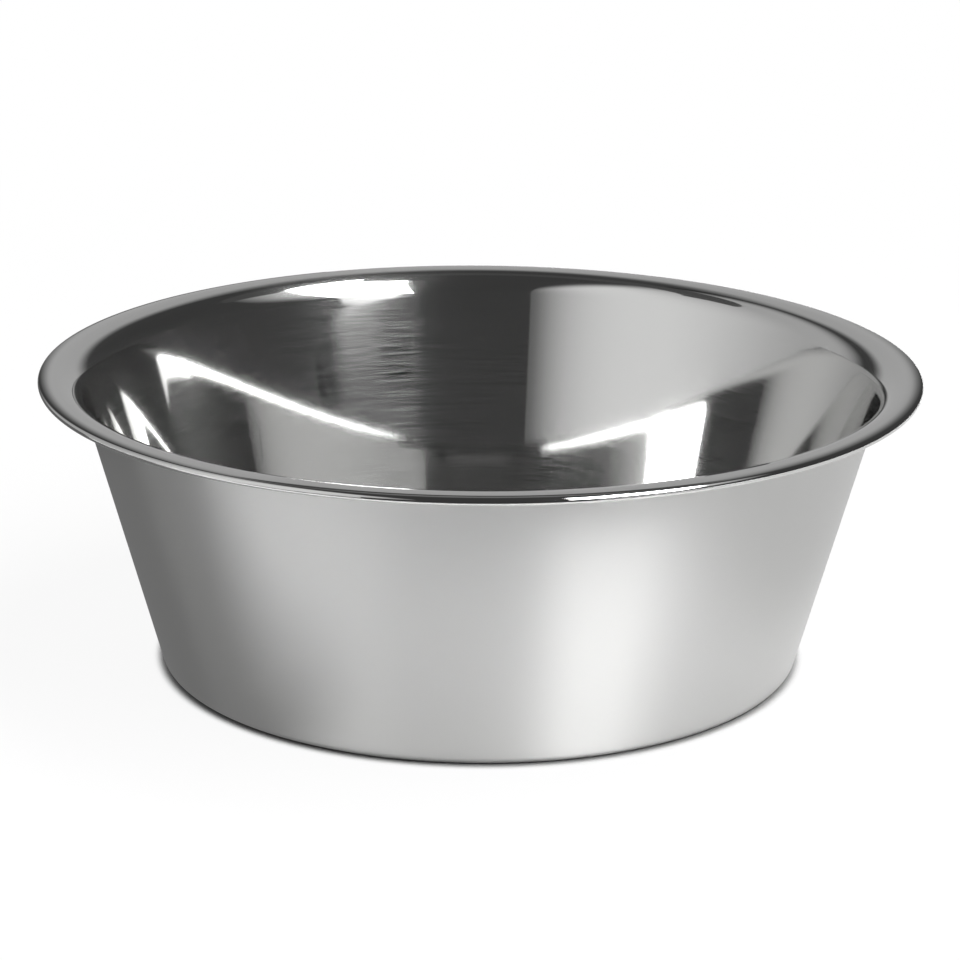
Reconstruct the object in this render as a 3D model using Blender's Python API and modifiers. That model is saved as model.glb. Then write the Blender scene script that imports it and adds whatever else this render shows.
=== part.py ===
"""Round metal pet bowl, deep-drawn in one piece from stainless steel sheet.

One sheet runs from the middle of the base to the folded rim: a raised base panel,
a flat foot ring, a rounded knuckle, a straight tapered wall, a rounded lip, and a
flange whose edge droops, folds under and lies back against it. Sizes are in metres,
+Z is up, and the bowl stands on z = 0 with its axis on the origin.
"""

import math

import bmesh
import bpy

# Overall sizes
HEIGHT = 0.0713
MOUTH_DIAMETER = 0.2028
FLANGE_WIDTH = 0.0036
FOOT_DIAMETER = 0.15
SHEET = 0.0005

# Bends. The knuckle is measured on the outside, the lip and the droop on top.
KNUCKLE_RADIUS = 0.0025
LIP_RADIUS = 0.0074
DROOP_RADIUS = 0.008
DROOP_ANGLE = math.radians(18.0)

# Folded edge: the gap is left between the flange and the layer that lies back under it.
FOLD_GAP = 0.0006

# Raised panel in the base, which leaves the bowl standing on the ring around it.
PANEL_DIAMETER = 0.126
PANEL_RISE = 0.001
PANEL_BLEND_RADIUS = 0.0025

# Facets round the bowl, and along each kind of bend
TURN_STEPS = 96
BLEND_FACETS = 2
KNUCKLE_FACETS = 4
LIP_FACETS = 7
DROOP_FACETS = 3
FOLD_FACETS = 6
RETURN_FACETS = 2
MERGE_DISTANCE = 0.00001

UP = math.pi / 2


def clear_scene():
    """Remove every object that the new file starts with."""
    for item in list(bpy.data.objects):
        bpy.data.objects.remove(item, do_unlink=True)


def arc(centre, radius, start, end, facets):
    """Points on an arc in the (radius, height) plane, both ends included."""
    points = []
    for index in range(facets + 1):
        angle = start + (end - start) * index / facets
        points.append((centre[0] + radius * math.cos(angle), centre[1] + radius * math.sin(angle)))
    return points


def base_panel():
    """Top face of the raised panel, from the axis down to the foot ring."""
    bend = math.acos(1.0 - PANEL_RISE / (2.0 * PANEL_BLEND_RADIUS))
    edge = PANEL_DIAMETER / 2.0
    foot_start = edge + 2.0 * PANEL_BLEND_RADIUS * math.sin(bend)
    top = SHEET + PANEL_RISE
    shoulder = arc((edge, top - PANEL_BLEND_RADIUS), PANEL_BLEND_RADIUS, UP, UP - bend, BLEND_FACETS)
    hollow = arc((foot_start, SHEET + PANEL_BLEND_RADIUS), PANEL_BLEND_RADIUS, -UP - bend, -UP, BLEND_FACETS)
    return [(0.0, top)] + shoulder + hollow[1:]


def knuckle_and_lip():
    """Inner face of the wall with the bend at each end; the wall is their common tangent."""
    knuckle_centre = (FOOT_DIAMETER / 2.0, KNUCKLE_RADIUS)
    knuckle_inside = KNUCKLE_RADIUS - SHEET
    lip_centre = (MOUTH_DIAMETER / 2.0, HEIGHT - LIP_RADIUS)
    across = lip_centre[0] - knuckle_centre[0]
    rise = lip_centre[1] - knuckle_centre[1]
    taper = math.acos((knuckle_inside + LIP_RADIUS) / math.hypot(across, rise)) - math.atan2(rise, across)
    knuckle = arc(knuckle_centre, knuckle_inside, -UP, -taper, KNUCKLE_FACETS)
    lip = arc(lip_centre, LIP_RADIUS, math.pi - taper, UP, LIP_FACETS)
    return knuckle + lip


def folded_edge():
    """Drooping outer part of the flange, the fold at its edge and the layer under it."""
    fold_radius = SHEET + FOLD_GAP / 2.0
    rim_radius = MOUTH_DIAMETER / 2.0 + FLANGE_WIDTH
    fold_reach = fold_radius * (1.0 - math.sin(DROOP_ANGLE))
    droop_start = rim_radius - fold_reach - DROOP_RADIUS * math.sin(DROOP_ANGLE)
    droop_centre = (droop_start, HEIGHT - DROOP_RADIUS)
    slope = UP - DROOP_ANGLE
    droop = arc(droop_centre, DROOP_RADIUS, UP, slope, DROOP_FACETS)
    inward = DROOP_RADIUS - fold_radius
    fold_centre = (
        droop_centre[0] + inward * math.cos(slope),
        droop_centre[1] + inward * math.sin(slope),
    )
    fold = arc(fold_centre, fold_radius, slope, slope - math.pi, FOLD_FACETS)
    under = arc(droop_centre, DROOP_RADIUS - 2.0 * fold_radius, slope, UP, RETURN_FACETS)
    return droop + fold[1:] + under[1:]


def sheet_profile():
    """Face of the sheet that is seen from above, from the axis out to its cut edge."""
    return base_panel() + knuckle_and_lip() + folded_edge()


def stainless_steel():
    """Polished stainless steel of the pressing."""
    material = bpy.data.materials.new("stainless_steel")
    material.use_nodes = True
    shader = material.node_tree.nodes["Principled BSDF"]
    shader.inputs["Base Color"].default_value = (0.61, 0.61, 0.6, 1.0)
    shader.inputs["Metallic"].default_value = 1.0
    shader.inputs["Roughness"].default_value = 0.2
    return material


def profile_mesh(name, points):
    """Mesh of one open line through the points, standing in the XZ plane."""
    outline = bmesh.new()
    corners = [outline.verts.new((radius, 0.0, height)) for radius, height in points]
    for first, second in zip(corners, corners[1:]):
        outline.edges.new((first, second))
    mesh = bpy.data.meshes.new(name)
    outline.to_mesh(mesh)
    outline.free()
    return mesh


def turn(item):
    """Turn the profile about the upright axis."""
    screw = item.modifiers.new("turn", "SCREW")
    screw.axis = "Z"
    screw.angle = 2.0 * math.pi
    screw.steps = TURN_STEPS
    screw.render_steps = TURN_STEPS
    screw.use_merge_vertices = True
    screw.merge_threshold = MERGE_DISTANCE
    screw.use_smooth_shade = True


def thicken(item):
    """Give the turned face its sheet thickness, on the outside and the underside."""
    wall = item.modifiers.new("sheet", "SOLIDIFY")
    wall.thickness = SHEET
    wall.offset = -1.0
    wall.use_even_offset = True
    wall.use_quality_normals = True


def add_bowl(collection):
    """The bowl itself, one drawn sheet."""
    bowl = bpy.data.objects.new("bowl", profile_mesh("bowl", sheet_profile()))
    bowl.data.materials.append(stainless_steel())
    collection.objects.link(bowl)
    turn(bowl)
    thicken(bowl)
    return bowl


def main():
    """Build the bowl in its own collection."""
    clear_scene()
    collection = bpy.data.collections.new("metal_pet_bowl")
    bpy.context.scene.collection.children.link(collection)
    add_bowl(collection)


main()
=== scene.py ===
import logging
import math
from dataclasses import dataclass
from enum import IntEnum
from typing import Any

import bmesh
import bpy
from mathutils import Matrix, Vector


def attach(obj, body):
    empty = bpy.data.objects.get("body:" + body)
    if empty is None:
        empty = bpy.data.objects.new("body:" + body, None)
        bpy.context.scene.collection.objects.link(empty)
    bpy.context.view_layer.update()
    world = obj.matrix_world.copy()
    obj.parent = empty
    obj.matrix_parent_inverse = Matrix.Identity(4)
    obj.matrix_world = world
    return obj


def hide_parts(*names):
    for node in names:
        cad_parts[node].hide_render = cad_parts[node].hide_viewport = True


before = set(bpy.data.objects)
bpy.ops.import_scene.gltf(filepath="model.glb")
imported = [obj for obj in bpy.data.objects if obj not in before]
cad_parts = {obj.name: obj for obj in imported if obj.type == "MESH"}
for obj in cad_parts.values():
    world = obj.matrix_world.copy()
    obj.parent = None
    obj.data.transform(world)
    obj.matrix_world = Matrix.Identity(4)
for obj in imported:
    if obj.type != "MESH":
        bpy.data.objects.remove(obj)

log = logging.getLogger("metal_pet_bowl")

MM = 0.001
MERGE_DISTANCE = 0.001 * MM
BODY = "root"
CAD_NODE = "bowl"
WHITE = (1.0, 1.0, 1.0, 1.0)
CREASE_DEGREES = 40.0
FULL_TURN_DEGREES = 360.0

# Most values of a noise texture lie between these two.
NOISE_LOW = 0.35
NOISE_HIGH = 0.65

# Part of a full turn by which the scatter is turned, so that it runs across the rings.
ACROSS_THE_RINGS = 0.25

# Typical distance of the wall from the axis, which turns a length along a ring into an angle.
WALL_RADIUS = 90.0 * MM


# A level in a material: one number, or the socket of a node that works it out.
Level = bpy.types.NodeSocket | float


class Zone(IntEnum):
    """Stretches of the one sheet that were finished in different ways, in the order of the material slots."""

    INSIDE = 1
    RIM = 2
    OUTSIDE = 3
    UNDERSIDE = 4

    @property
    def slot(self) -> int:
        """Index of the material slot that this stretch takes."""
        return self.value - 1


def linear_colour(code: str) -> tuple[float, float, float, float]:
    """Turn an sRGB hex colour into the linear one that the shaders use.

    Args:
        code: Six hex digits with a leading hash.

    Returns:
        Red, green and blue in linear light, and an alpha of one.
    """
    channels = []
    for place in (1, 3, 5):
        value = int(code[place:place + 2], 16) / 255.0
        channels.append(value / 12.92 if value <= 0.04045 else ((value + 0.055) / 1.055) ** 2.4)
    return channels[0], channels[1], channels[2], 1.0


def add_node(tree: bpy.types.NodeTree, kind: str, settings: dict[str, Any] | None = None,
             **inputs: Any) -> bpy.types.Node:
    """Add a shader node with its settings, values and incoming links.

    Args:
        tree: Node tree that gets the node.
        kind: Type name of the node.
        settings: Properties of the node itself, such as its operation.
        **inputs: One entry for each input, named as the socket with underscores for spaces, or "in0" for the
            first socket. A socket as the value is linked, and anything else is set.

    Returns:
        The new node.
    """
    node = tree.nodes.new(kind)
    for name, value in (settings or {}).items():
        setattr(node, name, value)
    for name, value in inputs.items():
        key = int(name[2:]) if name.startswith("in") and name[2:].isdigit() else name.replace("_", " ")
        socket = node.inputs[key]
        if isinstance(value, bpy.types.NodeSocket):
            tree.links.new(value, socket)
        else:
            socket.default_value = value
    return node


def combined(tree: bpy.types.NodeTree, operation: str, first: Level, second: Level) -> bpy.types.NodeSocket:
    """Combine two levels in a material.

    Args:
        tree: Node tree that gets the node.
        operation: What is done with them, such as MULTIPLY.
        first: First level, as a number or a socket.
        second: Second level, as a number or a socket.

    Returns:
        The combined level.
    """
    return add_node(tree, "ShaderNodeMath", {"operation": operation}, in0=first, in1=second).outputs[0]


def eased(tree: bpy.types.NodeTree, value: Level, span: tuple[float, float],
          levels: tuple[Level, Level]) -> bpy.types.NodeSocket:
    """Turn a value into a level that changes smoothly over a span and stays even beyond it.

    Args:
        tree: Node tree that gets the node.
        value: Value that is read, such as a place or a distance.
        span: Values between which the level changes.
        levels: Levels at the two ends of the span.

    Returns:
        The level.
    """
    return add_node(
        tree, "ShaderNodeMapRange", {"interpolation_type": "SMOOTHSTEP"}, Value=value,
        From_Min=span[0], From_Max=span[1], To_Min=levels[0], To_Max=levels[1],
    ).outputs[0]


def new_material(name: str) -> tuple[bpy.types.Material, bpy.types.NodeTree]:
    """Make a material with an empty node tree.

    Args:
        name: Name of the material.

    Returns:
        The material and its node tree.
    """
    material = bpy.data.materials.new(name)
    material.use_nodes = True
    material.node_tree.nodes.clear()
    return material, material.node_tree


def new_piece(name: str, shape: bmesh.types.BMesh, materials: list[bpy.types.Material]) -> bpy.types.Object:
    """Turn a finished bmesh into an object of the scene, at the origin, unturned and unscaled.

    Args:
        name: Name of the object and its mesh.
        shape: The geometry, which is freed.
        materials: Materials in slot order.

    Returns:
        The new object.
    """
    mesh = bpy.data.meshes.new(name)
    shape.to_mesh(mesh)
    shape.free()
    for material in materials:
        mesh.materials.append(material)
    piece = bpy.data.objects.new(name, mesh)
    bpy.context.scene.collection.objects.link(piece)
    return piece


def hide_from_camera(card: bpy.types.Object, lights_floor: bool) -> None:
    """Let the camera pass through a card.

    Args:
        card: Card that the metal mirrors.
        lights_floor: Whether the card also lights the floor and throws a shadow.
    """
    card.visible_camera = False
    card.visible_diffuse = lights_floor
    card.visible_shadow = lights_floor


@dataclass(frozen=True)
class SteelFinish:
    """Bare stainless steel, worked in rings round the bowl while it turned on a lathe.

    Rings of fine lines scatter a reflection across themselves and keep it sharp along themselves, so
    lights are drawn out up and down the wall and keep crisp left and right edges. Clouds are broad uneven
    spots of the work, and the haze is the faint wide glow that fine scratches add to a sharp reflection.
    """

    name: str
    colour: str
    roughness: float
    anisotropy: float
    line_spacing: float
    line_length: float
    line_depth: float
    roughness_spread: float
    cloud_size: float = 28.0 * MM
    cloud_spread: float = 0.0
    haze_share: float = 0.0
    haze_spread: float = 0.0
    haze_roughness: float = 0.35
    haze_anisotropy: float = 0.9

    def build(self) -> bpy.types.Material:
        """Make the material.

        Returns:
            The finished material.
        """
        material, tree = new_material(self.name)
        place = add_node(tree, "ShaderNodeTexCoord").outputs["Object"]
        lines = self._rings(tree, place)
        clouds = add_node(
            tree, "ShaderNodeTexNoise", {"noise_dimensions": "3D"},
            Vector=place, Scale=1.0 / self.cloud_size, Detail=2.0, Roughness=0.5,
        ).outputs[0]
        fine = add_node(
            tree, "ShaderNodeMapRange", {"clamp": False},
            Value=lines, From_Min=NOISE_LOW, From_Max=NOISE_HIGH,
            To_Min=self.roughness - self.roughness_spread, To_Max=self.roughness + self.roughness_spread,
        ).outputs[0]
        broad = add_node(
            tree, "ShaderNodeMapRange", {"clamp": False},
            Value=clouds, From_Min=NOISE_LOW, From_Max=NOISE_HIGH,
            To_Min=-self.cloud_spread, To_Max=self.cloud_spread,
        ).outputs[0]
        rough = add_node(tree, "ShaderNodeMath", {"operation": "ADD", "use_clamp": True}, in0=fine, in1=broad)
        bump = add_node(tree, "ShaderNodeBump", Strength=1.0, Distance=self.line_depth, Height=lines)
        tangent = add_node(tree, "ShaderNodeTangent", {"direction_type": "RADIAL", "axis": "Z"})
        shader = add_node(
            tree, "ShaderNodeBsdfPrincipled",
            Base_Color=linear_colour(self.colour), Metallic=1.0, Roughness=rough.outputs[0],
            Anisotropic=self.anisotropy, Anisotropic_Rotation=ACROSS_THE_RINGS,
            Tangent=tangent.outputs[0], Normal=bump.outputs[0],
        )
        if self.haze_share > 0.0:
            haze = add_node(
                tree, "ShaderNodeBsdfPrincipled",
                Base_Color=linear_colour(self.colour), Metallic=1.0, Roughness=self.haze_roughness,
                Anisotropic=self.haze_anisotropy, Anisotropic_Rotation=ACROSS_THE_RINGS,
                Tangent=tangent.outputs[0],
            )
            share = add_node(
                tree, "ShaderNodeMapRange", Value=lines, From_Min=NOISE_LOW, From_Max=NOISE_HIGH,
                To_Min=self.haze_share - self.haze_spread, To_Max=self.haze_share + self.haze_spread,
            ).outputs[0]
            shader = add_node(
                tree, "ShaderNodeMixShader", in0=share, in1=shader.outputs[0], in2=haze.outputs[0],
            )
        add_node(tree, "ShaderNodeOutputMaterial", Surface=shader.outputs[0])
        return material

    def _rings(self, tree: bpy.types.NodeTree, place: bpy.types.NodeSocket) -> bpy.types.NodeSocket:
        """Add the rings of fine lines left by the belt or the mop.

        Args:
            tree: Node tree of the material.
            place: Position on the bowl.

        Returns:
            Height of the lines, from 0 to 1.
        """
        flat = add_node(
            tree, "ShaderNodeVectorMath", {"operation": "MULTIPLY"}, in0=place, in1=(1.0, 1.0, 0.0),
        ).outputs[0]
        radius = add_node(tree, "ShaderNodeVectorMath", {"operation": "LENGTH"}, in0=flat).outputs["Value"]
        height = add_node(tree, "ShaderNodeSeparateXYZ", Vector=place).outputs["Z"]
        across = combined(tree, "ADD", radius, height)
        step = combined(tree, "DIVIDE", across, self.line_spacing)
        heading = add_node(tree, "ShaderNodeVectorMath", {"operation": "NORMALIZE"}, in0=flat).outputs[0]
        around = add_node(
            tree, "ShaderNodeVectorMath", {"operation": "SCALE"},
            in0=heading, Scale=WALL_RADIUS / self.line_length,
        ).outputs[0]
        lift = add_node(tree, "ShaderNodeCombineXYZ", Z=step).outputs[0]
        track = add_node(tree, "ShaderNodeVectorMath", {"operation": "ADD"}, in0=around, in1=lift).outputs[0]
        return add_node(
            tree, "ShaderNodeTexNoise", {"noise_dimensions": "3D"},
            Vector=track, Scale=1.0, Detail=3.0, Roughness=0.65,
        ).outputs[0]


# Inside of the bowl: stainless steel mopped on the lathe to a mirror. The mop leaves hair-fine rings, real
# ones about 0.05 mm apart and these drawn at 0.4 mm so that they show. The eye sees crisp upright reflections
# with a faint grain of level lines in the mid tones.
POLISHED_INSIDE = SteelFinish(
    name="mirror_polished_steel_inside", colour="#D2D2D1", roughness=0.05, anisotropy=0.6,
    line_spacing=0.4 * MM, line_length=14 * MM, line_depth=0.0008 * MM, roughness_spread=0.01,
    haze_share=0.055, haze_spread=0.045, haze_roughness=0.25,
)

# Flange and folded edge: buffed last and hardest, because the hand and the muzzle touch it. The eye sees
# a clean mirror with thin highlights along the fold. Its rings are drawn at 0.5 mm for the same reason.
POLISHED_RIM = SteelFinish(
    name="mirror_polished_steel_rim", colour="#D2D2D1", roughness=0.05, anisotropy=0.3,
    line_spacing=0.5 * MM, line_length=60 * MM, line_depth=0.0005 * MM,
    roughness_spread=0.02, cloud_spread=0.01,
)

# Outside of the wall: satin stainless steel, brushed round with a fine belt. Real lines are about 0.05 mm
# apart; these are drawn at 0.5 mm so that they show. The eye sees soft bands of light that run up the wall.
SATIN_OUTSIDE = SteelFinish(
    name="satin_brushed_steel_outside", colour="#D2D2D1", roughness=0.3, anisotropy=0.8,
    line_spacing=0.5 * MM, line_length=50 * MM, line_depth=0.0002 * MM,
    roughness_spread=0.008, cloud_spread=0.006,
    haze_share=0.48, haze_roughness=0.48, haze_anisotropy=0.95,
)

# Underside: steel as it left the press, only wiped clean. The eye sees an even dull sheen with faint rings,
# 1.2 mm apart as the turning tool's feed leaves them.
DRAWN_UNDERSIDE = SteelFinish(
    name="drawn_steel_underside", colour="#C6C6C4", roughness=0.4, anisotropy=0.4,
    line_spacing=1.2 * MM, line_length=40 * MM, line_depth=0.001 * MM,
    roughness_spread=0.04, cloud_spread=0.03,
)


class SheetSection:
    """Section of the sheet, drawn as a wire in the XZ plane and then turned about the upright axis."""

    def __init__(self, radius: float, height: float) -> None:
        """Set the pen down.

        Args:
            radius: Distance of the first point from the axis.
            height: Height of the first point.
        """
        self.shape = bmesh.new()
        self.zones = self.shape.edges.layers.int.new("zone")
        self.tip = bmesh.ops.create_vert(self.shape, co=(radius, 0.0, height))["vert"][0]

    def line(self, radius: float, height: float, parts: int, zone: Zone) -> None:
        """Draw a straight stretch to a point.

        Args:
            radius: Distance of the point from the axis.
            height: Height of the point.
            parts: Number of equal parts that the stretch is cut into.
            zone: Finish of the stretch.
        """
        step = (Vector((radius, 0.0, height)) - self.tip.co) / parts
        for _ in range(parts):
            self.tip = bmesh.ops.extrude_vert_indiv(self.shape, verts=[self.tip])["verts"][0]
            bmesh.ops.translate(self.shape, vec=step, verts=[self.tip])
        self._mark(zone)

    def bend(self, radius: float, height: float, degrees: float, parts: int, zone: Zone) -> None:
        """Draw an arc from the pen's place, about a centre.

        Args:
            radius: Distance of the arc's centre from the axis.
            height: Height of the arc's centre.
            degrees: Angle of the arc, positive where it turns from the outward direction to the upward one.
            parts: Number of equal parts.
            zone: Finish of the stretch.
        """
        made = bmesh.ops.spin(
            self.shape, geom=[self.tip], cent=(radius, 0.0, height), axis=(0.0, -1.0, 0.0),
            dvec=(0.0, 0.0, 0.0), angle=math.radians(degrees), steps=parts,
            use_merge=False, use_duplicate=False,
        )
        self.tip = next(item for item in made["geom_last"] if isinstance(item, bmesh.types.BMVert))
        self._mark(zone)

    def turned(self, steps: int, sectors: int) -> bmesh.types.BMesh:
        """Turn the section once about the axis and close the result.

        Args:
            steps: Number of facets in one sector.
            sectors: Number of equal sectors in the full turn. One is turned and the others are its copies,
                which is many times quicker than one long turn.

        Returns:
            The closed shape, with a material index on each face.
        """
        sector = 2.0 * math.pi / sectors
        axis = {"cent": (0.0, 0.0, 0.0), "axis": (0.0, 0.0, 1.0), "dvec": (0.0, 0.0, 0.0), "use_merge": False}
        for zone in Zone:
            edges = [edge for edge in self.shape.edges if edge[self.zones] == zone and not edge.link_faces]
            corners = list(dict.fromkeys(corner for edge in edges for corner in edge.verts))
            before = len(self.shape.faces)
            bmesh.ops.spin(
                self.shape, geom=corners + edges, angle=sector, steps=steps, use_duplicate=False, **axis,
            )
            self.shape.faces.ensure_lookup_table()
            for face in self.shape.faces[before:]:
                face.material_index = zone.slot
                face.smooth = True
        whole = list(self.shape.verts) + list(self.shape.edges) + list(self.shape.faces)
        bmesh.ops.spin(
            self.shape, geom=whole, angle=sector * (sectors - 1), steps=sectors - 1,
            use_duplicate=True, **axis,
        )
        bmesh.ops.remove_doubles(self.shape, verts=self.shape.verts, dist=MERGE_DISTANCE)
        bmesh.ops.recalc_face_normals(self.shape, faces=self.shape.faces)
        for edge in self.shape.edges:
            edge.smooth = edge.calc_face_angle(0.0) < math.radians(CREASE_DEGREES)
        return self.shape

    def _mark(self, zone: Zone) -> None:
        """Give the zone to every edge that has none yet."""
        for edge in self.shape.edges:
            if edge[self.zones] == 0:
                edge[self.zones] = zone


@dataclass(frozen=True)
class PressedBowl:
    """The bowl: one pressing of sheet, from the raised panel in its base to the folded edge of its flange."""

    height: float = 71.3 * MM
    mouth_radius: float = 101.4 * MM
    flange_width: float = 3.6 * MM
    foot_radius: float = 75.0 * MM
    sheet: float = 0.5 * MM
    knuckle_radius: float = 2.5 * MM
    lip_radius: float = 7.4 * MM
    droop_radius: float = 8.0 * MM
    droop_degrees: float = 18.0
    fold_gap: float = 0.6 * MM
    panel_radius: float = 63.0 * MM
    panel_rise: float = 1.0 * MM
    panel_blend: float = 2.5 * MM
    steps: int = 24
    sectors: int = 15
    wall_parts: int = 24
    lip_parts: int = 20
    knuckle_parts: int = 10
    fold_parts: int = 16
    blend_parts: int = 4
    panel_parts: int = 6
    ring_parts: int = 2
    flange_parts: int = 2
    droop_parts: int = 6
    return_parts: int = 4

    def build(self) -> bpy.types.Object:
        """Model the bowl and dress it.

        Returns:
            The finished piece.
        """
        section = SheetSection(0.0, self.sheet + self.panel_rise)
        self._draw_inside(section)
        self._draw_folded_edge(section)
        self._draw_outside(section)
        shape = section.turned(self.steps, self.sectors)
        finishes = [POLISHED_INSIDE, POLISHED_RIM, SATIN_OUTSIDE, DRAWN_UNDERSIDE]
        return new_piece("pressed_bowl", shape, [finish.build() for finish in finishes])

    @property
    def _panel_degrees(self) -> float:
        """Angle of each of the two blends between the raised panel and the foot ring."""
        return math.degrees(math.acos(1.0 - self.panel_rise / (2.0 * self.panel_blend)))

    @property
    def _foot_start(self) -> float:
        """Radius at which the flat foot ring starts."""
        return self.panel_radius + 2.0 * self.panel_blend * math.sin(math.radians(self._panel_degrees))

    @property
    def _taper_degrees(self) -> float:
        """Lean of the wall from upright, as the common tangent of the knuckle and the lip."""
        across = self.mouth_radius - self.foot_radius
        rise = self.height - self.lip_radius - self.knuckle_radius
        bends = self.knuckle_radius - self.sheet + self.lip_radius
        return math.degrees(math.acos(bends / math.hypot(across, rise)) - math.atan2(rise, across))

    @property
    def _fold_radius(self) -> float:
        """Outside radius of the fold."""
        return self.sheet + self.fold_gap / 2.0

    @property
    def _droop_start(self) -> float:
        """Radius at which the flange starts to droop."""
        lean = math.sin(math.radians(self.droop_degrees))
        reach = self._fold_radius * (1.0 - lean) + self.droop_radius * lean
        return self.mouth_radius + self.flange_width - reach

    @property
    def _fold_centre(self) -> tuple[float, float]:
        """Radius and height of the fold's centre."""
        slope = math.radians(90.0 - self.droop_degrees)
        inward = self.droop_radius - self._fold_radius
        height = self.height - self.droop_radius
        return self._droop_start + inward * math.cos(slope), height + inward * math.sin(slope)

    def _draw_inside(self, section: SheetSection) -> None:
        """Draw the face that holds the food, from the axis up to the flange.

        Args:
            section: Section that is carried on.
        """
        turn, taper = self._panel_degrees, self._taper_degrees
        top = self.sheet + self.panel_rise
        section.line(self.panel_radius, top, self.panel_parts, Zone.INSIDE)
        section.bend(self.panel_radius, top - self.panel_blend, -turn, self.blend_parts, Zone.INSIDE)
        section.bend(self._foot_start, self.sheet + self.panel_blend, turn, self.blend_parts, Zone.INSIDE)
        section.line(self.foot_radius, self.sheet, self.ring_parts, Zone.INSIDE)
        section.bend(self.foot_radius, self.knuckle_radius, 90.0 - taper, self.knuckle_parts, Zone.INSIDE)
        lean = math.radians(180.0 - taper)
        lip_height = self.height - self.lip_radius
        section.line(
            self.mouth_radius + self.lip_radius * math.cos(lean),
            lip_height + self.lip_radius * math.sin(lean),
            self.wall_parts, Zone.INSIDE,
        )
        section.bend(self.mouth_radius, lip_height, taper - 90.0, self.lip_parts, Zone.INSIDE)

    def _draw_folded_edge(self, section: SheetSection) -> None:
        """Draw the flange, its drooping edge, the fold and the layer that lies back under it.

        Args:
            section: Section that is carried on.
        """
        droop, start = self.droop_degrees, self._droop_start
        centre_height = self.height - self.droop_radius
        fold_radius, fold_height = self._fold_centre
        section.line(start, self.height, self.flange_parts, Zone.RIM)
        section.bend(start, centre_height, -droop, self.droop_parts, Zone.RIM)
        section.bend(fold_radius, fold_height, -180.0, self.fold_parts, Zone.RIM)
        section.bend(start, centre_height, droop, self.return_parts, Zone.RIM)
        section.line(start, section.tip.co.z + self.sheet, 1, Zone.RIM)
        section.bend(start, centre_height, -droop, self.return_parts, Zone.RIM)
        section.bend(fold_radius, fold_height, 180.0, self.fold_parts // 2, Zone.RIM)
        section.bend(start, centre_height, droop, self.return_parts, Zone.RIM)
        section.line(self.mouth_radius, self.height - self.sheet, self.flange_parts, Zone.RIM)

    def _draw_outside(self, section: SheetSection) -> None:
        """Draw the outside of the lip, the wall and the knuckle, then the underside back to the axis.

        Args:
            section: Section that is carried on.
        """
        turn, taper = self._panel_degrees, self._taper_degrees
        lip_height = self.height - self.lip_radius
        section.bend(self.mouth_radius, lip_height, 90.0 - taper, self.lip_parts, Zone.OUTSIDE)
        lean = math.radians(-taper)
        section.line(
            self.foot_radius + self.knuckle_radius * math.cos(lean),
            self.knuckle_radius + self.knuckle_radius * math.sin(lean),
            self.wall_parts, Zone.OUTSIDE,
        )
        section.bend(self.foot_radius, self.knuckle_radius, taper - 90.0, self.knuckle_parts, Zone.OUTSIDE)
        section.line(self._foot_start, 0.0, self.ring_parts, Zone.UNDERSIDE)
        section.bend(self._foot_start, self.sheet + self.panel_blend, -turn, self.blend_parts, Zone.UNDERSIDE)
        top = self.sheet + self.panel_rise
        section.bend(self.panel_radius, top - self.panel_blend, turn, self.blend_parts, Zone.UNDERSIDE)
        section.line(0.0, self.panel_rise, self.panel_parts, Zone.UNDERSIDE)


@dataclass(frozen=True)
class Heading:
    """A way to look from the bowl.

    The side is a compass angle: 0 is behind the bowl, 90 to its right and 180 towards the camera. The rise is
    measured from level. Both are in degrees.
    """

    side: float
    rise: float

    @property
    def way(self) -> Vector:
        """Unit vector of the heading."""
        side, rise = math.radians(self.side), math.radians(self.rise)
        return Vector((math.sin(side) * math.cos(rise), math.cos(side) * math.cos(rise), math.sin(rise)))


@dataclass(frozen=True)
class Ramp:
    """Smooth change of a level between two places on one axis."""

    axis: str
    start: float
    end: float
    first: float
    last: float

    def build(self, tree: bpy.types.NodeTree, place: bpy.types.NodeSocket) -> bpy.types.NodeSocket:
        """Add the ramp to a material.

        Args:
            tree: Node tree of the material.
            place: Position.

        Returns:
            The level at that position.
        """
        spot = add_node(tree, "ShaderNodeSeparateXYZ", Vector=place).outputs[self.axis]
        return eased(tree, spot, (self.start, self.end), (self.first, self.last))


@dataclass(frozen=True)
class Glow:
    """Light of a card, even or with ramps that its level is multiplied by."""

    level: float
    ramps: tuple[Ramp, ...] = ()

    def build(self, name: str) -> bpy.types.Material:
        """Make the material.

        Args:
            name: Name of the card.

        Returns:
            The material.
        """
        material, tree = new_material(name)
        place = add_node(tree, "ShaderNodeTexCoord").outputs["Object"]
        level: Level = self.level
        for ramp in self.ramps:
            level = combined(tree, "MULTIPLY", level, ramp.build(tree, place))
        glow = add_node(tree, "ShaderNodeEmission", Color=WHITE, Strength=level)
        add_node(tree, "ShaderNodeOutputMaterial", Surface=glow.outputs[0])
        return material


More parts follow.
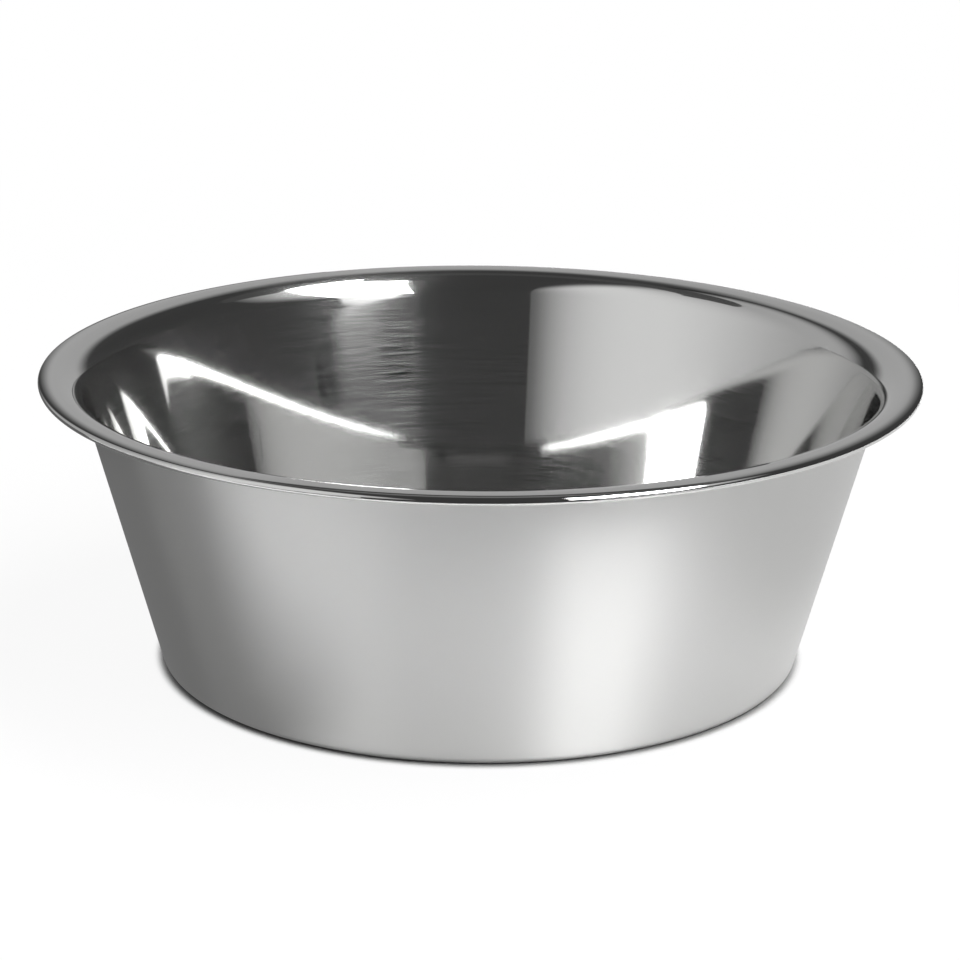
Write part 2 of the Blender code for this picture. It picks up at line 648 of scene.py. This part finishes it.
@dataclass(frozen=True)
class CurvedCard:
    """A curved card of light round the bowl, which the metal mirrors and the camera passes through.

    It is a strip of a sphere: the strip lies between two angles from a pole, and runs round that pole.
    """

    name: str
    pole: Heading
    start: Heading
    sweep_degrees: float
    inner_degrees: float
    outer_degrees: float
    distance: float
    glow: Glow
    lights_floor: bool = True
    centre_height: float = 60.0 * MM
    parts: int = 32

    def build(self) -> bpy.types.Object:
        """Make the card.

        Returns:
            The card.
        """
        shape = bmesh.new()
        centre = Vector((0.0, 0.0, self.centre_height))
        pole = self.pole.way
        across = pole.cross(self.start.way).normalized()
        first = Matrix.Rotation(math.radians(self.inner_degrees), 3, across) @ pole * self.distance
        tip = bmesh.ops.create_vert(shape, co=centre + first)["vert"]
        bmesh.ops.spin(
            shape, geom=tip, cent=centre, axis=across, dvec=(0.0, 0.0, 0.0),
            angle=math.radians(self.outer_degrees - self.inner_degrees), steps=self.parts,
            use_merge=False, use_duplicate=False,
        )
        bmesh.ops.spin(
            shape, geom=list(shape.verts) + list(shape.edges), cent=centre, axis=pole, dvec=(0.0, 0.0, 0.0),
            angle=math.radians(self.sweep_degrees), steps=2 * self.parts,
            use_merge=abs(self.sweep_degrees) >= FULL_TURN_DEGREES, use_duplicate=False,
        )
        bmesh.ops.remove_doubles(shape, verts=shape.verts, dist=MERGE_DISTANCE)
        card = new_piece(self.name, shape, [self.glow.build(self.name)])
        hide_from_camera(card, self.lights_floor)
        return card


@dataclass(frozen=True)
class FlatWall:
    """An upright flat card between two upright edges, one at (side, front) and one at (far_side, back)."""

    name: str
    side: float
    far_side: float
    front: float
    back: float
    low: float
    high: float
    glow: Glow
    lights_floor: bool = True

    def build(self) -> bpy.types.Object:
        """Make the wall.

        Returns:
            The wall.
        """
        shape = bmesh.new()
        foot = bmesh.ops.create_vert(shape, co=(self.side, self.front, self.low))["vert"]
        edge = bmesh.ops.extrude_vert_indiv(shape, verts=foot)
        bmesh.ops.translate(shape, vec=(0.0, 0.0, self.high - self.low), verts=edge["verts"])
        sheet = bmesh.ops.extrude_edge_only(shape, edges=edge["edges"])["geom"]
        moved = [item for item in sheet if isinstance(item, bmesh.types.BMVert)]
        bmesh.ops.translate(shape, vec=(self.far_side - self.side, self.back - self.front, 0.0), verts=moved)
        wall = new_piece(self.name, shape, [self.glow.build(self.name)])
        hide_from_camera(wall, self.lights_floor)
        return wall


@dataclass(frozen=True)
class SoftBox:
    """A long flat softbox that hangs over the bowl, slanting up and away from its low end.

    Its lower long side has a dim wing, which softens that edge of its reflection.
    """

    name: str
    centre: Heading
    facing: Heading
    along: Heading
    distance: float
    length: float
    width: float
    wing: float
    wing_share: float
    edge: float
    glow: Glow
    wing_end: float = 0.1
    rest_level: float = 0.055

    def build(self) -> bpy.types.Object:
        """Make the softbox.

        Returns:
            The card.
        """
        shape = bmesh.new()
        out = self.facing.way
        across = out.cross(self.along.way).normalized()
        along = across.cross(out)
        turn = Matrix((along, across, out)).transposed().to_4x4()
        middle = self.centre.way * self.distance
        place = Matrix.Translation(middle - across * self.wing / 2.0) @ turn
        size = Matrix.Diagonal((self.length, self.width + self.wing, 1.0, 1.0))
        bmesh.ops.create_grid(shape, x_segments=1, y_segments=1, size=0.5, matrix=place @ size)
        material = self.glow.build(self.name)
        self._add_wing(material.node_tree, across, across.dot(middle) - self.width / 2.0)
        card = new_piece(self.name, shape, [material])
        hide_from_camera(card, lights_floor=True)
        return card

    def _add_wing(self, tree: bpy.types.NodeTree, across: Vector, border: float) -> None:
        """Dim the light beyond the softbox's lower long side.

        Args:
            tree: Node tree of the softbox's material.
            across: Direction across the softbox, away from the wing.
            border: Place of the lower long side in that direction.
        """
        place = add_node(tree, "ShaderNodeTexCoord").outputs["Object"]
        spot = add_node(
            tree, "ShaderNodeVectorMath", {"operation": "DOT_PRODUCT"}, in0=place, in1=across[:],
        ).outputs["Value"]
        core = eased(tree, spot, (border, border + self.edge), (self.wing_share, 1.0))
        fade = add_node(
            tree, "ShaderNodeMapRange", Value=spot,
            From_Min=border - self.wing, From_Max=border, To_Min=self.wing_end, To_Max=1.0,
        ).outputs[0]
        share = combined(tree, "MULTIPLY", core, fade)
        glow = next(node for node in tree.nodes if node.type == "EMISSION").inputs["Strength"]
        level = combined(tree, "MULTIPLY", glow.links[0].from_socket, share)
        tree.links.new(combined(tree, "MAXIMUM", level, self.rest_level), glow)


@dataclass(frozen=True)
class ShadowCard:
    """A level card on the table with soft edges, which only the metal mirrors.

    It gives a stretch of the table another level in the bowl's reflections than the camera sees.
    """

    name: str
    left: float
    right: float
    front: float
    back: float
    level: float
    edges: tuple[Ramp, ...]
    height: float = 0.5 * MM

    def build(self) -> bpy.types.Object:
        """Make the card.

        Returns:
            The card.
        """
        shape = bmesh.new()
        middle = ((self.left + self.right) / 2.0, (self.front + self.back) / 2.0, self.height)
        size = Matrix.Diagonal((self.right - self.left, self.back - self.front, 1.0, 1.0))
        bmesh.ops.create_grid(
            shape, x_segments=1, y_segments=1, size=0.5, matrix=Matrix.Translation(middle) @ size,
        )
        card = new_piece(self.name, shape, [self._material()])
        hide_from_camera(card, lights_floor=False)
        return card

    def _material(self) -> bpy.types.Material:
        """Make the material: an even light that fades into nothing at the edges.

        Returns:
            The material.
        """
        material, tree = new_material(self.name)
        place = add_node(tree, "ShaderNodeTexCoord").outputs["Object"]
        cover: Level = 1.0
        for edge in self.edges:
            cover = combined(tree, "MULTIPLY", cover, edge.build(tree, place))
        clear = add_node(tree, "ShaderNodeBsdfTransparent")
        glow = add_node(tree, "ShaderNodeEmission", Color=WHITE, Strength=self.level)
        mix = add_node(tree, "ShaderNodeMixShader", in0=cover, in1=clear.outputs[0], in2=glow.outputs[0])
        add_node(tree, "ShaderNodeOutputMaterial", Surface=mix.outputs[0])
        return material


@dataclass(frozen=True)
class WhiteStage:
    """White floor and white surround, which the metal mirrors as well; the floor keeps the bowl's shadow.

    The floor glows for the camera and, less, for mirrored rays: more near the bowl's foot than further out,
    which is a painted pool of light in the bowl's reflections. Where the bowl stands close over it, the glow
    gives way to the paper and the paper's colour darkens as well: a painted contact shadow beside the real
    one.
    """

    floor_radius: float = 3.5
    floor_colour: str = "#C1C1C1"
    camera_glow: float = 0.93
    mirrored_glow: float = 0.15
    foot_glow: float = 0.6
    foot_radius: float = 80.0 * MM
    foot_reach: float = 130.0 * MM
    near_radius: float = 0.22
    far_radius: float = 0.6
    contact_reach: float = 3.0 * MM
    contact_samples: int = 8
    contact_closed: float = 0.35
    contact_open: float = 0.95
    contact_shade: float = 0.35
    floor_segments: int = 128
    floor_drop: float = 0.02 * MM

    def build(self) -> bpy.types.Object:
        """Make the floor and the world.

        Returns:
            The floor.
        """
        shape = bmesh.new()
        bmesh.ops.create_circle(shape, cap_ends=True, radius=self.floor_radius, segments=self.floor_segments)
        bmesh.ops.translate(shape, vec=(0.0, 0.0, -self.floor_drop), verts=shape.verts)
        floor = new_piece("studio_floor", shape, [self._floor_material()])
        self._build_world()
        return floor

    def _background_rays(self, tree: bpy.types.NodeTree, mirrored: Level) -> bpy.types.NodeSocket:
        """Add the test for rays that show the white background: straight, mirrored or let through.

        Args:
            tree: Node tree of the floor or the world.
            mirrored: Share of the white that the mirrored and let-through rays get.

        Returns:
            One for a straight ray, the share for a mirrored one, and zero for the others.
        """
        path = add_node(tree, "ShaderNodeLightPath").outputs
        bounced = combined(tree, "MAXIMUM", path["Is Glossy Ray"], path["Is Transmission Ray"])
        share = combined(tree, "MULTIPLY", bounced, mirrored)
        return combined(tree, "MAXIMUM", path["Is Camera Ray"], share)

    def _floor_material(self) -> bpy.types.Material:
        """Make the white floor: pale matt paper that glows for the background rays and keeps the shadow.

        Returns:
            The material.
        """
        material, tree = new_material("matt_white_paper_floor")
        place = add_node(tree, "ShaderNodeTexCoord").outputs["Object"]
        radius = add_node(tree, "ShaderNodeVectorMath", {"operation": "LENGTH"}, in0=place).outputs["Value"]
        share = eased(tree, radius, (self.near_radius, self.far_radius), (self.camera_glow, 1.0))
        near = add_node(
            tree, "ShaderNodeAmbientOcclusion", {"samples": self.contact_samples},
            Distance=self.contact_reach,
        ).outputs["AO"]
        # Painted contact shadow: where ambient occlusion finds the bowl close over the floor, the glow gives
        # way.
        contact = eased(tree, near, (self.contact_closed, self.contact_open), (0.0, 1.0))
        clear = combined(tree, "MULTIPLY", share, contact)
        # Painted pool of light: mirrored rays get more glow near the bowl's foot than further out.
        mirrored = eased(
            tree, radius, (self.foot_radius, self.foot_reach), (self.foot_glow, self.mirrored_glow),
        )
        glowing = combined(tree, "MULTIPLY", clear, self._background_rays(tree, mirrored))
        # Painted contact shadow in the paper's own colour, darkened by the same occlusion.
        shade = eased(tree, near, (self.contact_closed, self.contact_open), (self.contact_shade, 1.0))
        colour = add_node(
            tree, "ShaderNodeVectorMath", {"operation": "SCALE"},
            in0=linear_colour(self.floor_colour)[:3], Scale=shade,
        ).outputs[0]
        paper = add_node(tree, "ShaderNodeBsdfDiffuse", Color=colour)
        glow = add_node(tree, "ShaderNodeEmission", Color=WHITE, Strength=1.0)
        mix = add_node(tree, "ShaderNodeMixShader", in0=glowing, in1=paper.outputs[0], in2=glow.outputs[0])
        add_node(tree, "ShaderNodeOutputMaterial", Surface=mix.outputs[0])
        return material

    def _build_world(self) -> None:
        """Make the white surround, which lights nothing."""
        world = bpy.data.worlds.new("white_surround")
        world.use_nodes = True
        tree = world.node_tree
        tree.nodes.clear()
        glow = add_node(tree, "ShaderNodeBackground", Color=WHITE, Strength=self._background_rays(tree, 1.0))
        add_node(tree, "ShaderNodeOutputWorld", Surface=glow.outputs[0])
        bpy.context.scene.world = world


@dataclass(frozen=True)
class PhotoCamera:
    """Camera at the photograph's angle: in front, a little above the rim and close to the bowl."""

    distance: float = 750.0 * MM
    pitch_degrees: float = 17.29
    roll_degrees: float = 0.43
    target_height: float = 42.5 * MM
    pixels_per_mm: float = 4.136
    image_pixels: int = 960
    sensor: float = 36.0
    nearest: float = 10.0 * MM
    farthest: float = 20.0

    def build(self) -> bpy.types.Object:
        """Set up the camera.

        Returns:
            The camera.
        """
        lens = bpy.data.cameras.new("photo_camera")
        lens.sensor_width = self.sensor
        lens.lens = self.pixels_per_mm * self.distance / MM * self.sensor / self.image_pixels
        lens.clip_start = self.nearest
        lens.clip_end = self.farthest
        camera = bpy.data.objects.new("photo_camera", lens)
        pitch = math.radians(self.pitch_degrees)
        back = Vector((0.0, -math.cos(pitch), math.sin(pitch)))
        turn = (-back).to_track_quat("-Z", "Y").to_matrix().to_4x4()
        place = Matrix.Translation(Vector((0.0, 0.0, self.target_height)) + back * self.distance)
        camera.matrix_world = place @ turn @ Matrix.Rotation(math.radians(self.roll_degrees), 4, "Z")
        bpy.context.scene.collection.objects.link(camera)
        bpy.context.scene.camera = camera
        return camera


# The studio, worked out from the reflections in the photograph and fitted to that one view. Places and sizes
# are in metres, and a level of one is white. The cards that don't light the floor are met by mirrored rays
# alone. They are stand-ins, most of them closer to the bowl than a real studio could have them.

# The dark room beyond the lights, which the dark stretches of the metal mirror.
DARK_STUDIO = CurvedCard(
    "dark_studio", pole=Heading(0.0, 90.0), start=Heading(0.0, 0.0), sweep_degrees=360.0,
    inner_degrees=0.0, outer_degrees=91.0, distance=4.0, glow=Glow(0.055),
)

# White wall on the left, dimmer to the front, to the back and at its top. Inside the bowl it is the pale
# panel right of the middle and the patch of light low on the left.
LEFT_WALL = FlatWall(
    "left_white_wall", side=-1.0, far_side=-1.0, front=-3.6, back=1.9, low=0.0, high=3.3,
    glow=Glow(0.9, (
        Ramp("Y", -3.6, -0.7, 0.18, 1.0), Ramp("Y", -0.6, 0.6, 1.0, 0.56), Ramp("Y", 0.9, 1.9, 1.0, 0.1),
        Ramp("Z", 1.9, 3.2, 1.0, 0.1),
    )),
)

# Sweep of grey paper straight behind the bowl, dimmer at its top and at its ends.
BACK_SWEEP = CurvedCard(
    "back_sweep", pole=Heading(0.0, 90.0), start=Heading(-25.0, 0.0), sweep_degrees=-55.0,
    inner_degrees=30.0, outer_degrees=90.0, distance=2.0,
    glow=Glow(0.47, (
        Ramp("Z", 1.25, 1.75, 1.0, 0.12), Ramp("X", -0.75, -0.36, 0.12, 1.0), Ramp("X", 0.3, 0.75, 1.0, 0.12),
    )),
)

# The main light: a long softbox over the camera's right, dark below 0.62 m and brighter towards its top.
KEY_SOFTBOX = SoftBox(
    "key_softbox", centre=Heading(125.3, 55.6), facing=Heading(125.2, 40.1), along=Heading(-10.4, 40.3),
    distance=2.012, length=3.05, width=0.9, wing=0.5, wing_share=0.04, edge=0.07,
    glow=Glow(19.0, (Ramp("Z", 0.62, 0.67, 0.0, 1.0), Ramp("Z", 0.66, 1.45, 0.065, 1.0))),
)

# Small reflector at the front right: the soft grey band on the far wall, left of the middle.
LOW_REFLECTOR = FlatWall(
    "low_reflector", side=0.11, far_side=0.38, front=-0.22, back=-0.22, low=0.13, high=0.172,
    glow=Glow(0.85, (
        Ramp("Z", 0.162, 0.174, 0.3, 1.0), Ramp("Z", 0.134, 0.164, 0.3, 1.0),
        Ramp("X", 0.132, 0.2, 0.1, 1.0), Ramp("X", 0.235, 0.32, 1.0, 0.1),
    )),
    lights_floor=False,
)

# Dark flag overhead, which hides what lies within 17 degrees of straight above.
TOP_FLAG = CurvedCard(
    "flag_overhead", pole=Heading(0.0, 90.0), start=Heading(0.0, 0.0), sweep_degrees=360.0,
    inner_degrees=0.0, outer_degrees=17.0, distance=1.6, glow=Glow(0.055), lights_floor=False,
)

# Grey flag round the back left of the bowl, from the table up to 24 degrees.
LEFT_FLAG = CurvedCard(
    "left_flag", pole=Heading(0.0, 90.0), start=Heading(-95.0, 0.0), sweep_degrees=-80.0,
    inner_degrees=66.0, outer_degrees=90.0, distance=0.19, glow=Glow(0.15), lights_floor=False,
    centre_height=0.0,
)

# Dark narrow flag high behind the bowl, from 58 to 66 degrees up.
BACK_FLAG = CurvedCard(
    "back_flag", pole=Heading(0.0, 90.0), start=Heading(-45.0, 0.0), sweep_degrees=-90.0,
    inner_degrees=24.0, outer_degrees=32.0, distance=0.3, glow=Glow(0.08), lights_floor=False,
    centre_height=0.0,
)

# Dark flag in the bowl's mouth, turned edge-on to the rays that would draw it as a line. It darkens one
# second reflection low on the left, which is dark on the real bowl too, probably because its wall isn't
# quite a cone. Seen from above, the flag's image is a small dark notch in the wall on the upper right.
MOUTH_FLAG = FlatWall(
    "mouth_flag", side=0.054, far_side=0.069, front=0.0417, back=0.0384, low=0.044, high=0.0865,
    glow=Glow(0.06), lights_floor=False,
)

# The table to the left of the bowl, darker in the reflections than the camera sees it: a painted shadow of
# the bowl on the table, which only the metal mirrors.
LEFT_SHADE = ShadowCard(
    "left_shade", left=-0.35, right=-0.02, front=-0.11, back=0.16, level=0.22,
    edges=(Ramp("X", -0.052, -0.027, 1.0, 0.0), Ramp("Y", -0.105, -0.055, 0.0, 1.0)),
)

# The table in front of the bowl, grey in the reflections.
FRONT_SHADE = ShadowCard(
    "front_shade", left=-0.3, right=0.3, front=-0.6, back=-0.15, level=0.35,
    edges=(Ramp("Y", -0.19, -0.158, 1.0, 0.0),),
)

# The table to the right of the bowl, nearly white in the reflections.
RIGHT_SHADE = ShadowCard(
    "right_shade", left=0.08, right=0.5, front=-0.148, back=0.2, level=0.85,
    edges=(Ramp("X", 0.085, 0.125, 0.0, 1.0),),
)

# Dark low card in front of the bowl.
FRONT_FLAG = FlatWall(
    "front_flag", side=-0.09, far_side=0.09, front=-0.22, back=-0.22, low=0.0, high=0.1,
    glow=Glow(0.05), lights_floor=False,
)

STUDIO = (
    DARK_STUDIO, LEFT_WALL, BACK_SWEEP, KEY_SOFTBOX, TOP_FLAG, LEFT_FLAG, BACK_FLAG,
    MOUTH_FLAG, LOW_REFLECTOR, LEFT_SHADE, FRONT_SHADE, RIGHT_SHADE, FRONT_FLAG,
)


def main() -> None:
    """Build the bowl, the stage, the lights and the camera."""
    logging.basicConfig(level=logging.INFO, format="%(name)s: %(message)s")
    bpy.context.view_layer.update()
    bpy.context.scene.view_settings.view_transform = "Standard"
    bowl = PressedBowl().build()
    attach(bowl, BODY)
    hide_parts(CAD_NODE)
    log.info("%s: %d faces", bowl.name, len(bowl.data.polygons))
    for part in (WhiteStage(), *STUDIO, PhotoCamera()):
        log.info("%s is in place", part.build().name)


if __name__ == "__main__":
    main()
